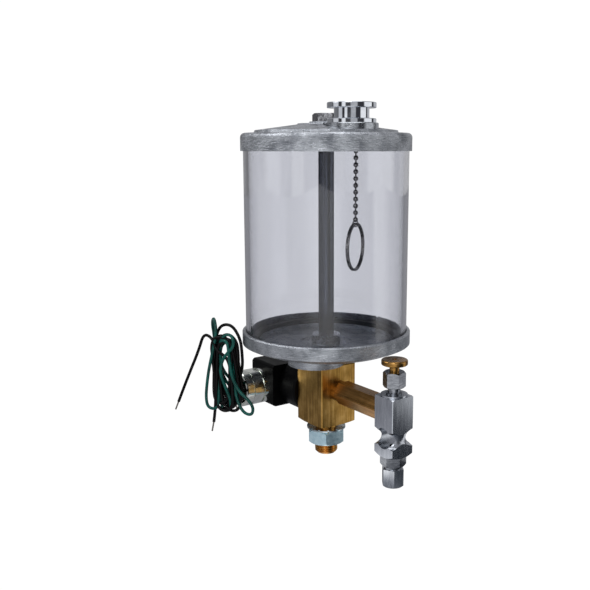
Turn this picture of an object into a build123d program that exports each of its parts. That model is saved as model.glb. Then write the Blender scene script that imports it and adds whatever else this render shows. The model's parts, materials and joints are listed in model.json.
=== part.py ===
from build123d import *
import math
import os

# Automatic lubricator: a clear oil reservoir between two castings on a tie rod,
# over a square valve block with a solenoid valve, a needle-metered sight-drip
# outlet and a threaded mounting stud.
#
# Millimetres. The origin is the centre of the valve block's underside, which is
# the face that seats on the machine. +Z is up the tie rod, +X points along the
# outlet arm, and the solenoid lies along -X with its lead hub towards -Y.

os.makedirs("parts", exist_ok=True)

# ---------------------------------------------------------------- clearances
fit = 0.05            # radial clearance of a fixed or threaded fit
running_fit = 0.05    # radial clearance of a stem that slides or turns
hole_clear = 0.3      # radial clearance of the tie rod in the castings
seat_gap = 0.1        # gap under a loose piece at its seat

# ---------------------------------------------------------------- valve block
block_w = 28.5
block_h = 41.8
block_edge = 0.5      # chamfer on the block's edges
block_turn_r = 15.5   # lower corners turned off outside this radius
block_turn_h = 0.7
block_gasket_t = 0.8
block_gasket_r = 10.5
rod_socket_h = 7.8    # depth of the tie rod's threaded socket
stud_socket_h = 12.0
chamber_r = 5.0       # valve chamber of the solenoid, bored along -X
chamber_seat_x = -2.0
valve_seat_r = 2.0
valve_seat_h = 1.0
orifice_r = 1.2
feed_drill_r = 1.5

# ---------------------------------------------------------------- base casting
boss_h = 10.4
boss_r = 18.9
boss_x = 2.0
boss_y = -10.1
pad_r = 12.4          # pad of the boss on the rod's own axis
floor_t = 3.3
spot_depth = 0.5
spot_r = 17.8
ledge_rise = 2.5      # from the floor to the seal's ledge
ledge_w = 9.1             # from the rim's inner wall to the ledge's inner edge
rim_clear = 0.3       # radial gap between the tube and each rim
base_rim_wall = 2.2
base_rim_h = 9.6
base_under_w = 8.8        # from the rim's outside to the flat underside
base_rim_rise = 2.7   # rim's lower edge above the floor's underside

# ---------------------------------------------------------------- reservoir tube
tube_r = 54.3
tube_wall = 3.2
tube_len = 129.2
seal_t = 1.5
seal_lip_h = 1.5      # the lip stands this far past the end of the tube
seal_lip_w = 4.8

# ---------------------------------------------------------------- lid casting
lid_rim_wall = 1.4
lid_rim_drop = 7.0
lid_rim_top = 4.5     # rim's top above the seal's ledge
lid_edge_fillet = 3.0
plate_w = 9.4             # flat border of the lid, from the rim's outside
plate_rise = 1.7
cone_top_r = 19.0
cone_rise = 3.8
hub_r = 18.6
hub_rise = 0.6
collar_r = 11.0
collar_rise = 1.2
lid_skin = 1.5        # recess of the underside inside the ledge
lid_dome = 3.5        # further rise of the underside towards the middle
rod_boss_r = 15.0
rod_boss_drop = 3.0

# ---------------------------------------------------------------- tie rod, nuts
rod_r = 5.2
rod_bore_r = 2.5
rod_foot = 1.0        # rod's end above the floor of its socket
rod_inlet_r = 1.5
rod_inlet_rise = 2.6  # oil inlets above the lower nut
rod_bore_over = 1.5   # drilling carried on past the inlets
rod_end_recess = 2.1  # rod's top below the top nut's face
top_nut_af = 15.9
top_nut_h = 5.3
lower_nut_af = 19.0
lower_nut_h = 6.2

# ---------------------------------------------------------------- filler and cap
cap_to_nut = 1.92         # from the cap's disc to the top nut's corners
filler_y = 0.0
filler_shank_r = 12.0
filler_shank_h = 6.8
filler_bore_r = 9.8
filler_collar_r = 17.0
filler_collar_h = 3.8
filler_spot_r = 18.0
filler_spot_rise = 6.6   # spot face above the lid's seal ledge
cap_flange_r = 15.5
cap_flange_h = 2.6
cap_neck_r = 11.1
cap_neck_h = 6.2
cap_disc_r = 15.5
cap_disc_h = 3.6
cap_round = 0.6
plug_r = 9.5
plug_len = 8.0
seal_cord_r = 0.9
seal_depth = 4.0         # O-ring centre below the cap's flange
seal_side_clear = 0.15   # between the O-ring and the filler's bore

# ---------------------------------------------------------------- bead chain, ring
bead_r = 1.6
bead_pitch = 4.3
bead_count = 12
link_r = 0.5
cup_r = 2.9
chain_off_x = 1.8         # chain's axis beside the filler's
chain_off_y = 2.0
cup_wall = 1.2           # metal left under the held bead's centre
cup_play = 0.15
chain_drop = 5.0         # held bead's centre below the plug's end
eye_wire_r = 0.4
eye_inner_r = 1.35
ring_r = 15.5
ring_wire = 1.5          # radial thickness of the split ring
ring_coil_w = 1.05       # axial width of one of its two coils
ring_turn = 121.5        # heading of the ring's plane, in degrees from +X
ring_groove = 0.18
ring_split = 0.8
ring_split_angles = (-112, -68)

# ---------------------------------------------------------------- mounting stud
stud_r = 7.9
stud_pitch_r = 7.6        # where the thread is engaged, at its pitch line
stud_runout = 0.3         # engaged form carried on below the nut
stud_drop = 23.0
stud_chamfer = 1.6
washer_top = 4.0
washer_t = 1.0
washer_r = 13.4
washer_teeth = 12
washer_tooth_depth = 1.7
jam_nut_af = 23.8
jam_nut_h = 10.0
jam_nut_turn = -36.5

# ---------------------------------------------------------------- outlet arm
arm_z = 24.6
arm_af = 14.3
arm_x_end = 62.0
arm_shoulder_r = 7.0
arm_shoulder_len = 5.0
arm_bore_r = 1.8
arm_spigot_r = 4.95
arm_spigot_len = 5.7
arm_nose_r = 3.9
arm_nose_len = 4.8
arm_socket_gap = 2.0     # oil space past the end of the spigot in the block

# ---------------------------------------------------------------- sight body
body_w = 17.2
body_bottom = -3.0
body_h = 38.6
waist_r = 7.8
waist_z = 9.2
waist_h = 10.8
waist_edge = 1.0         # turned bevel above and below the waist
foot_cone_h = 2.3
foot_cone_r = 8.9
window_r = 6.65
drip_chamber_r = 4.6
drip_ceiling_z = 16.2
outlet_r = 2.4
needle_cavity_r = 3.0
needle_cavity_bottom = 21.5
seat_hole_r = 1.0
seat_hole_h = 1.0
nozzle_r = 2.2
nozzle_bore_r = 0.9
nozzle_tip_z = 13.6

# ---------------------------------------------------------------- needle valve
pack_washer_r = 8.4
pack_washer_t = 1.2
pack_neck_r = 3.95
pack_neck_h = 4.2
pack_hex_af = 12.5
pack_hex_h = 9.9
pack_shank_len = 3.8
packing_t = 2.5
packing_r = 3.9
stem_r = 3.1
stem_rise = 4.2          # stem showing above the packing nut
pin_r = 1.6
pin_top_z = 38.0
needle_tip_r = 0.35
needle_tip_h = 2.4
needle_tip_z = 20.3
knob_r = 8.25
knob_h = 3.5
knob_spigot_r = 1.5

# ---------------------------------------------------------------- outlet fitting
union_af = 14.3
union_h = 6.7
union_spigot_r = 4.75
union_spigot_h = 3.6
union_neck_r = 5.5
union_neck_h = 8.3
oil_line_r = 3.2         # the 1/4 inch line that the outlet takes
line_fit = 0.05
line_depth = 11.3
comp_nut_gap = 2.0
comp_nut_af = 12.7
comp_nut_h = 11.6
ferrule_h = 2.0
ferrule_wall = 1.0

# ---------------------------------------------------------------- solenoid
coil_z = 19.8
coil_base_r = 17.6
coil_base_len = 19.5
coil_base_round = 1.0
coil_len = 28.5
coil_y_min = -22.0
coil_y_max = 18.0
coil_z_min = 4.3
coil_z_max = 34.5
coil_round = 2.5
core_r = 6.0
core_bore_r = 4.6
core_socket_h = 5.7      # core tube's thread in the block
core_stop_x = -39.0      # face of the fixed core inside the tube
core_stub_r = 3.5
core_stub_len = 6.8
coil_washer_r = 8.0
coil_washer_t = 0.8
coil_nut_af = 12.7
coil_nut_h = 5.0
plunger_r = 4.5
plunger_len = 33.0
plunger_pocket_r = 3.2
plunger_pocket_h = 10.0
spring_r = 2.6
spring_wire_r = 0.35
spring_turns = 6

# ---------------------------------------------------------------- conduit hub
hub_x = -48.9
hub_z = 17.5
hub_len = 19.0
hub_ring_r = 12.7
hub_back_len = 4.5
hub_front_len = 5.5
hub_band_af = 24.0
hub_groove_r = 11.4
hub_groove_w = 0.8
hub_mouth_r = 10.2
hub_mouth_len = 14.0
grommet_t = 3.0

# ---------------------------------------------------------------- leads
lead_r = 1.05
lead_tip_r = 0.55
lead_tip_len = 7.0
lead_spread = 3.2        # sideways place of the two black leads in the hub
lead_up = 1.8
lead_down = 3.4
hank_x = -41.5
hank_y = -56.0
hank_heading = 25.0
hank_bottom = 3.0
hank_h = 59.0
hank_w = 28.0
hank_shift = 1.0          # hank's middle, across it from its datum
hank_t = 11.0
hank_turn_off = 11.5      # leads turn upwards this far behind its datum
hank_round = 3.0
arc_share = 0.45         # share of the shorter run that an arc may use

# ---------------------------------------------------------------- levels
stud_bottom = -stud_drop
rod_socket_bottom = block_h - rod_socket_h
floor_under = block_h + block_gasket_t + boss_h
floor_top = floor_under + floor_t
nut_seat = floor_top - spot_depth
base_ledge = floor_top + ledge_rise
tube_bottom = base_ledge + seal_t
tube_top = tube_bottom + tube_len
lid_ledge = tube_top + seal_t
rim_inner_r = tube_r + rim_clear
ledge_inner_r = rim_inner_r - ledge_w
base_rim_r = rim_inner_r + base_rim_wall
base_under_r = base_rim_r - base_under_w
base_rim_bottom = floor_under + base_rim_rise
base_rim_top = base_rim_bottom + base_rim_h
lid_rim_r = rim_inner_r + lid_rim_wall
plate_r = lid_rim_r - plate_w
filler_x = top_nut_af / math.sqrt(3) + cap_to_nut + cap_disc_r
lid_top = lid_ledge + lid_rim_top
plate_z = lid_top + plate_rise
cone_top = plate_z + cone_rise
hub_top = cone_top + hub_rise
collar_top = hub_top + collar_rise
rod_hole_r = rod_r + hole_clear
rod_bottom = rod_socket_bottom + rod_foot
rod_top = collar_top + top_nut_h - rod_end_recess
filler_seat = lid_ledge + filler_spot_rise
filler_top = filler_seat + filler_collar_h
cap_bottom = filler_top + seat_gap
plug_bottom = cap_bottom - plug_len
chain_top = plug_bottom - chain_drop
chain_x = filler_x + chain_off_x
chain_y = filler_y + chain_off_y
chain_end = chain_top - (bead_count - 1) * bead_pitch
ring_wire_z = chain_end - bead_r - eye_inner_r + 0.2
ring_z = ring_wire_z - ring_r + ring_wire / 2
valve_x = arm_x_end + body_w / 2
body_top = body_bottom + body_h
pack_seat = body_top + pack_washer_t
pack_top = pack_seat + pack_neck_h + pack_hex_h
knob_bottom = pack_top + stem_rise
union_bottom = body_bottom - union_h
comp_nut_top = union_bottom - comp_nut_gap
comp_nut_bottom = comp_nut_top - comp_nut_h
line_r = oil_line_r + line_fit
line_stop = comp_nut_bottom + line_depth
block_face = block_w / 2
coil_face_x = -block_face - coil_base_len
coil_end_x = coil_face_x - coil_len
hub_face_y = coil_y_min - hub_len
lead_exit_y = hub_face_y + hub_mouth_len - grommet_t


def upright(x, y):
    """A plane for turned profiles round a vertical axis: local x is the radius."""
    return Plane(origin=(x, y, 0), x_dir=(1, 0, 0), z_dir=(0, -1, 0))


def turned(points, plane=upright(0, 0)):
    """A solid of revolution: points are (radius, height) in the profile plane."""
    with BuildPart() as solid:
        with BuildSketch(plane):
            with BuildLine():
                Polyline(*points, close=True)
            make_face()
        revolve(axis=Axis(plane.origin, plane.y_dir))
    return solid


def hex_nut(plane, af, height, bore_r, turn=0.0, low=True, high=True):
    """A hexagon on a plane, with its corners turned off at the ends named."""
    corner_r = af / math.sqrt(3)
    corner_drop = 0.9 * (corner_r - af / 2)
    face_r = af / 2 * 0.985
    low_r = face_r if low else corner_r + 1
    high_r = face_r if high else corner_r + 1
    profile = Plane(origin=plane.origin, x_dir=plane.x_dir, z_dir=-plane.y_dir)
    with BuildPart() as nut:
        with BuildSketch(plane):
            RegularPolygon(af / 2, 6, major_radius=False, rotation=turn)
        extrude(amount=height)
        with BuildSketch(profile):
            with BuildLine():
                Polyline(
                    (0, 0),
                    (low_r, 0),
                    (corner_r + 0.01, corner_drop),
                    (corner_r + 0.01, height - corner_drop),
                    (high_r, height),
                    (0, height),
                    close=True,
                )
            make_face()
        revolve(axis=Axis(plane.origin, plane.z_dir), mode=Mode.INTERSECT)
        if bore_r:
            with BuildSketch(plane):
                Circle(bore_r)
            extrude(amount=height, mode=Mode.SUBTRACT)
    return nut


# ================================================================ valve block
with BuildPart() as valve_block:
    with BuildSketch():
        Rectangle(block_w, block_w)
    extrude(amount=block_h)
    chamfer(valve_block.edges().group_by(Axis.Z)[-1], block_edge)
    chamfer(valve_block.edges().filter_by(Axis.Z), block_edge)
    block_corner_r = block_w / math.sqrt(2)
    with BuildSketch(upright(0, 0)):
        with BuildLine():
            Polyline(
                (block_turn_r, 0),
                (block_corner_r + 1, 0),
                (block_corner_r + 1, block_turn_h),
                (block_corner_r, block_turn_h),
                close=True,
            )
        make_face()
    revolve(axis=Axis.Z, mode=Mode.SUBTRACT)
    with BuildSketch():
        Circle(stud_pitch_r + fit)
    extrude(amount=stud_socket_h, mode=Mode.SUBTRACT)
    with BuildSketch(Plane.XY.offset(rod_socket_bottom)):
        Circle(rod_r + fit)
    extrude(amount=rod_socket_h, mode=Mode.SUBTRACT)
    # Outlet arm's socket, entered from +X.
    with BuildSketch(Plane(origin=(block_face, 0, arm_z), x_dir=(0, 1, 0), z_dir=(1, 0, 0))):
        Circle(arm_spigot_r + fit)
    extrude(amount=-(arm_spigot_len + arm_socket_gap), mode=Mode.SUBTRACT)
    # Solenoid side: thread of the core tube, then the valve chamber.
    solenoid_plane = Plane(origin=(-block_face, 0, coil_z), x_dir=(0, 1, 0), z_dir=(-1, 0, 0))
    with BuildSketch(solenoid_plane):
        Circle(core_r + fit)
    extrude(amount=-core_socket_h, mode=Mode.SUBTRACT)
    with BuildSketch(solenoid_plane):
        Circle(chamber_r)
    extrude(amount=-(block_face + chamber_seat_x), mode=Mode.SUBTRACT)
    # Raised valve seat, and the orifice through it to the arm's socket.
    with BuildSketch(Plane(origin=(chamber_seat_x, 0, coil_z), x_dir=(0, 1, 0), z_dir=(-1, 0, 0))):
        Circle(valve_seat_r)
    extrude(amount=valve_seat_h)
    with BuildSketch(Plane(origin=(chamber_seat_x - valve_seat_h, 0, coil_z), z_dir=(1, 0, 0))):
        Circle(orifice_r)
    orifice_len = block_face - arm_spigot_len - chamber_seat_x + valve_seat_h
    extrude(amount=orifice_len, mode=Mode.SUBTRACT)
    # Feed from the floor of the rod's socket down into the chamber.
    with BuildSketch(Plane.XY.offset(coil_z)):
        with Locations((chamber_seat_x - valve_seat_h - feed_drill_r + 0.6, 0)):
            Circle(feed_drill_r)
    extrude(amount=rod_socket_bottom - coil_z, mode=Mode.SUBTRACT)
valve_block.part.label = "valve_block"
export_step(valve_block.part, "parts/valve_block.step")

block_gasket = turned(
    [
        (rod_hole_r, block_h),
        (block_gasket_r, block_h),
        (block_gasket_r, block_h + block_gasket_t),
        (rod_hole_r, block_h + block_gasket_t),
    ]
)
block_gasket.part.label = "block_gasket"
export_step(block_gasket.part, "parts/block_gasket.step")

# ================================================================ mounting stud
with BuildPart() as mounting_stud:
    with BuildSketch(Plane.XY.offset(stud_bottom)):
        Circle(stud_pitch_r)
    extrude(amount=stud_drop + stud_socket_h)
    with BuildSketch(Plane.XY.offset(stud_bottom)):
        Circle(stud_r)
    extrude(amount=stud_drop - washer_top - washer_t - jam_nut_h - stud_runout)
    chamfer(mounting_stud.edges().sort_by(Axis.Z)[0], stud_chamfer)
mounting_stud.part.label = "mounting_stud"
export_step(mounting_stud.part, "parts/mounting_stud.step")

with BuildPart() as lock_washer:
    with BuildSketch(Plane.XY.offset(-washer_top - washer_t)):
        Circle(washer_r)
        Circle(stud_r + fit, mode=Mode.SUBTRACT)
        with PolarLocations(washer_r, washer_teeth):
            Rectangle(2 * washer_tooth_depth, washer_r / washer_teeth, mode=Mode.SUBTRACT)
    extrude(amount=washer_t)
lock_washer.part.label = "lock_washer"
export_step(lock_washer.part, "parts/lock_washer.step")

jam_nut = hex_nut(
    Plane.XY.offset(-washer_top - washer_t - jam_nut_h),
    jam_nut_af,
    jam_nut_h,
    stud_pitch_r + fit,
    turn=jam_nut_turn,
)
jam_nut.part.label = "jam_nut"
export_step(jam_nut.part, "parts/jam_nut.step")

# ================================================================ base casting
base_blank = turned(
    [
        (0, floor_under),
        (base_under_r, floor_under),
        (base_rim_r - 2, base_rim_bottom),
        (base_rim_r, base_rim_bottom + 1),
        (base_rim_r, base_rim_top - 0.8),
        (base_rim_r - 0.8, base_rim_top),
        (rim_inner_r, base_rim_top),
        (rim_inner_r, base_ledge),
        (ledge_inner_r, base_ledge),
        (ledge_inner_r, floor_top),
        (0, floor_top),
    ]
)
with BuildPart() as base_casting:
    add(base_blank.part)
    boss_bottom = floor_under - boss_h
    with BuildSketch(Plane.XY.offset(boss_bottom)):
        with Locations((boss_x, boss_y)):
            Circle(boss_r)
        Circle(pad_r)
    extrude(amount=boss_h)
    with BuildSketch(Plane.XY.offset(nut_seat)):
        Circle(spot_r)
    extrude(amount=spot_depth, mode=Mode.SUBTRACT)
    with BuildSketch(Plane.XY.offset(boss_bottom)):
        Circle(rod_hole_r)
    extrude(amount=boss_h + floor_t, mode=Mode.SUBTRACT)
base_casting.part.label = "base_casting"
export_step(base_casting.part, "parts/base_casting.step")


def rim_seal(ledge_z, away):
    """Angle-section ring seal: flat under the tube's end, lip inside the tube."""
    lip_inner = ledge_inner_r + 0.5
    lip_outer = lip_inner + seal_lip_w
    return turned(
        [
            (lip_inner, ledge_z),
            (tube_r, ledge_z),
            (tube_r, ledge_z + away * seal_t),
            (lip_outer, ledge_z + away * seal_t),
            (lip_outer, ledge_z + away * (seal_t + seal_lip_h)),
            (lip_inner, ledge_z + away * (seal_t + seal_lip_h)),
        ]
    )


base_gasket = rim_seal(base_ledge, 1)
base_gasket.part.label = "base_gasket"
export_step(base_gasket.part, "parts/base_gasket.step")

lid_gasket = rim_seal(lid_ledge, -1)
lid_gasket.part.label = "lid_gasket"
export_step(lid_gasket.part, "parts/lid_gasket.step")

# ================================================================ reservoir tube
with BuildPart() as reservoir_tube:
    with BuildSketch(Plane.XY.offset(tube_bottom)):
        Circle(tube_r)
        Circle(tube_r - tube_wall, mode=Mode.SUBTRACT)
    extrude(amount=tube_len)
reservoir_tube.part.label = "reservoir_tube"
export_step(reservoir_tube.part, "parts/reservoir_tube.step")

# ================================================================ lid casting
with BuildPart() as lid_casting:
    under_edge = lid_ledge + lid_skin
    under_crown = under_edge + lid_dome
    with BuildSketch(upright(0, 0)):
        with BuildLine():
            Polyline(
                (rod_hole_r, under_crown - rod_boss_drop),
                (rod_boss_r, under_crown - rod_boss_drop),
                (rod_boss_r + 1, under_crown),
                (ledge_inner_r, under_edge),
                (ledge_inner_r, lid_ledge),
                (rim_inner_r, lid_ledge),
                (rim_inner_r, lid_ledge - lid_rim_drop),
                (lid_rim_r, lid_ledge - lid_rim_drop),
                (lid_rim_r, lid_top - lid_edge_fillet),
            )
            RadiusArc(
                (lid_rim_r, lid_top - lid_edge_fillet),
                (lid_rim_r - lid_edge_fillet, lid_top),
                -lid_edge_fillet,
            )
            Polyline(
                (lid_rim_r - lid_edge_fillet, lid_top),
                (plate_r + 0.6, lid_top),
                (plate_r, plate_z),
                (cone_top_r, cone_top),
                (hub_r, hub_top),
                (collar_r, hub_top),
                (collar_r, collar_top),
                (rod_hole_r, collar_top),
                (rod_hole_r, under_crown - rod_boss_drop),
            )
        make_face()
    revolve(axis=Axis.Z)
    with BuildSketch(Plane.XY.offset(filler_seat)):
        with Locations((filler_x, filler_y)):
            Circle(filler_spot_r)
        Circle(collar_r, mode=Mode.SUBTRACT)
    extrude(amount=collar_top - filler_seat, mode=Mode.SUBTRACT)
    # The hub is relieved where the filler's collar passes it.
    with BuildSketch(Plane.XY.offset(filler_seat)):
        with Locations((filler_x, filler_y)):
            Circle(filler_collar_r + seat_gap)
    extrude(amount=collar_top - filler_seat, mode=Mode.SUBTRACT)
    with BuildSketch(Plane.XY.offset(lid_ledge)):
        with Locations((filler_x, filler_y)):
            Circle(filler_shank_r + fit)
    extrude(amount=collar_top - lid_ledge, mode=Mode.SUBTRACT)
lid_casting.part.label = "lid_casting"
export_step(lid_casting.part, "parts/lid_casting.step")

# ================================================================ tie rod, nuts
with BuildPart() as tie_rod:
    with BuildSketch(Plane.XY.offset(rod_bottom)):
        Circle(rod_r)
    extrude(amount=rod_top - rod_bottom)
    chamfer(tie_rod.edges().sort_by(Axis.Z)[-1], 0.6)
    inlet_z = nut_seat + lower_nut_h + rod_inlet_rise
    with BuildSketch(Plane.XY.offset(rod_bottom)):
        Circle(rod_bore_r)
    extrude(amount=inlet_z + rod_inlet_r + rod_bore_over - rod_bottom, mode=Mode.SUBTRACT)
    for side in ((1, 0, 0), (0, 1, 0)):
        with BuildSketch(Plane(origin=(0, 0, inlet_z), z_dir=side)):
            Circle(rod_inlet_r)
        extrude(amount=rod_r + 1, both=True, mode=Mode.SUBTRACT)
tie_rod.part.label = "tie_rod"
export_step(tie_rod.part, "parts/tie_rod.step")

tie_rod_lower_nut = hex_nut(
    Plane.XY.offset(nut_seat), lower_nut_af, lower_nut_h, rod_r + fit, turn=20, low=False
)
tie_rod_lower_nut.part.label = "tie_rod_lower_nut"
export_step(tie_rod_lower_nut.part, "parts/tie_rod_lower_nut.step")

tie_rod_top_nut = hex_nut(
    Plane.XY.offset(collar_top), top_nut_af, top_nut_h, rod_r + fit, turn=-12.4, low=False
)
tie_rod_top_nut.part.label = "tie_rod_top_nut"
export_step(tie_rod_top_nut.part, "parts/tie_rod_top_nut.step")

# ================================================================ filler and cap
filler_axis = upright(filler_x, filler_y)
filler_neck = turned(
    [
        (filler_bore_r, filler_seat - filler_shank_h),
        (filler_shank_r, filler_seat - filler_shank_h),
        (filler_shank_r, filler_seat),
        (filler_collar_r, filler_seat),
        (filler_collar_r, filler_top - 0.4),
        (filler_collar_r - 0.4, filler_top),
        (filler_bore_r + 0.5, filler_top),
        (filler_bore_r, filler_top - 0.5),
    ],
    filler_axis,
)
filler_neck.part.label = "filler_neck"
export_step(filler_neck.part, "parts/filler_neck.step")

seal_z = cap_bottom - seal_depth
seal_centre_r = filler_bore_r - seal_side_clear - seal_cord_r
with BuildPart() as filler_cap:
    disc_bottom = cap_bottom + cap_flange_h + cap_neck_h
    disc_top = disc_bottom + cap_disc_h
    groove_r = seal_centre_r - seal_cord_r
    cup_bottom = chain_top - cup_wall
    with BuildSketch(filler_axis):
        with BuildLine():
            Polyline(
                (0, disc_top),
                (cap_disc_r - cap_round, disc_top),
            )
            RadiusArc(
                (cap_disc_r - cap_round, disc_top),
                (cap_disc_r, disc_top - cap_round),
                cap_round,
            )
            Line((cap_disc_r, disc_top - cap_round), (cap_disc_r, disc_bottom + cap_round))
            RadiusArc(
                (cap_disc_r, disc_bottom + cap_round),
                (cap_disc_r - cap_round, disc_bottom),
                cap_round,
            )
            Polyline(
                (cap_disc_r - cap_round, disc_bottom),
                (cap_neck_r, disc_bottom),
                (cap_neck_r, cap_bottom + cap_flange_h),
                (cap_flange_r - 0.4, cap_bottom + cap_flange_h),
                (cap_flange_r, cap_bottom + cap_flange_h - 0.4),
                (cap_flange_r, cap_bottom),
                (plug_r, cap_bottom),
                (plug_r, seal_z + seal_cord_r),
                (groove_r, seal_z + seal_cord_r),
                (groove_r, seal_z - seal_cord_r),
                (plug_r, seal_z - seal_cord_r),
                (plug_r, plug_bottom + 0.5),
                (plug_r - 0.5, plug_bottom),
                (0, plug_bottom),
                (0, disc_top),
            )
        make_face()
    revolve(axis=Axis(filler_axis.origin, filler_axis.y_dir))
    # Cup under the plug that holds the chain's first bead.
    with BuildSketch(Plane.XY.offset(cup_bottom)):
        with Locations((chain_x, chain_y)):
            Circle(cup_r)
    extrude(amount=plug_bottom - cup_bottom)
    with Locations((chain_x, chain_y, chain_top)):
        Sphere(bead_r + cup_play, mode=Mode.SUBTRACT)
filler_cap.part.label = "filler_cap"
export_step(filler_cap.part, "parts/filler_cap.step")

with BuildPart() as cap_seal:
    with BuildSketch(filler_axis):
        with Locations((seal_centre_r, seal_z)):
            Circle(seal_cord_r)
    revolve(axis=Axis(filler_axis.origin, filler_axis.y_dir))
cap_seal.part.label = "cap_seal"
export_step(cap_seal.part, "parts/cap_seal.step")

# ================================================================ bead chain, ring
ring_heading = Vector(1, 0, 0).rotate(Axis.Z, ring_turn)
ring_axis_dir = Vector(1, 0, 0).rotate(Axis.Z, ring_turn - 90)

with BuildPart() as bead_chain:
    with BuildSketch(Plane.XY.offset(chain_end)):
        with Locations((chain_x, chain_y)):
            Circle(link_r)
    extrude(amount=chain_top - chain_end)
    for bead in range(bead_count):
        with Locations((chain_x, chain_y, chain_top - bead * bead_pitch)):
            Sphere(bead_r)
    # Wire eye under the last bead, square to the ring's wire that it holds.
    eye_centre = Vector(chain_x, chain_y, ring_wire_z)
    with BuildSketch(Plane(origin=eye_centre, x_dir=ring_axis_dir, z_dir=(0, 0, 1))):
        with Locations((eye_inner_r + eye_wire_r, 0)):
            Circle(eye_wire_r)
    revolve(axis=Axis(eye_centre, ring_heading))
bead_chain.part.label = "bead_chain"
export_step(bead_chain.part, "parts/bead_chain.step")

ring_centre = Vector(chain_x, chain_y, ring_z)
with BuildPart() as key_ring:
    ring_inner_r = ring_r - ring_wire
    # Section of the two coils side by side, with a groove where they meet.
    with BuildSketch(Plane(origin=ring_centre, x_dir=ring_heading, z_dir=(0, 0, 1))):
        with Locations(((ring_r + ring_inner_r) / 2, 0)):
            RectangleRounded(ring_wire, 2 * ring_coil_w, 0.4)
        for edge_r, turn in ((ring_r, 45), (ring_inner_r, 45)):
            with Locations((edge_r, 0)):
                Rectangle(ring_groove, ring_groove, rotation=turn, mode=Mode.SUBTRACT)
    revolve(axis=Axis(ring_centre, ring_axis_dir))
    # Each coil ends at its own split, low on the ring.
    ring_plane = Plane(origin=ring_centre, x_dir=ring_heading, z_dir=ring_axis_dir)
    for side, angle in zip((1, -1), ring_split_angles):
        split = ring_plane.offset(side * ring_coil_w / 2)
        with BuildSketch(split):
            with PolarLocations((ring_r + ring_inner_r) / 2, 1, start_angle=angle):
                Rectangle(2 * ring_wire, ring_split)
        extrude(amount=ring_coil_w / 2, both=True, mode=Mode.SUBTRACT)
key_ring.part.label = "key_ring"
export_step(key_ring.part, "parts/key_ring.step")

# ================================================================ outlet arm
arm_plane = Plane(origin=(block_face, 0, arm_z), x_dir=(0, 0, 1), z_dir=(1, 0, 0))
arm_len = arm_x_end - block_face
with BuildPart() as outlet_arm:
    with BuildSketch(arm_plane.offset(-arm_spigot_len)):
        Circle(arm_spigot_r)
    extrude(amount=arm_spigot_len)
    with BuildSketch(arm_plane):
        Circle(arm_shoulder_r)
    extrude(amount=arm_shoulder_len)
    with BuildSketch(arm_plane.offset(arm_shoulder_len)):
        RegularPolygon(arm_af / 2, 6, major_radius=False, rotation=30)
    extrude(amount=arm_len - arm_shoulder_len)
    with BuildSketch(arm_plane.offset(arm_len)):
        Circle(arm_nose_r)
    extrude(amount=arm_nose_len)
    with BuildSketch(arm_plane.offset(-arm_spigot_len)):
        Circle(arm_bore_r)
    extrude(amount=arm_spigot_len + arm_len + arm_nose_len, mode=Mode.SUBTRACT)
outlet_arm.part.label = "outlet_arm"
export_step(outlet_arm.part, "parts/outlet_arm.step")

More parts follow.
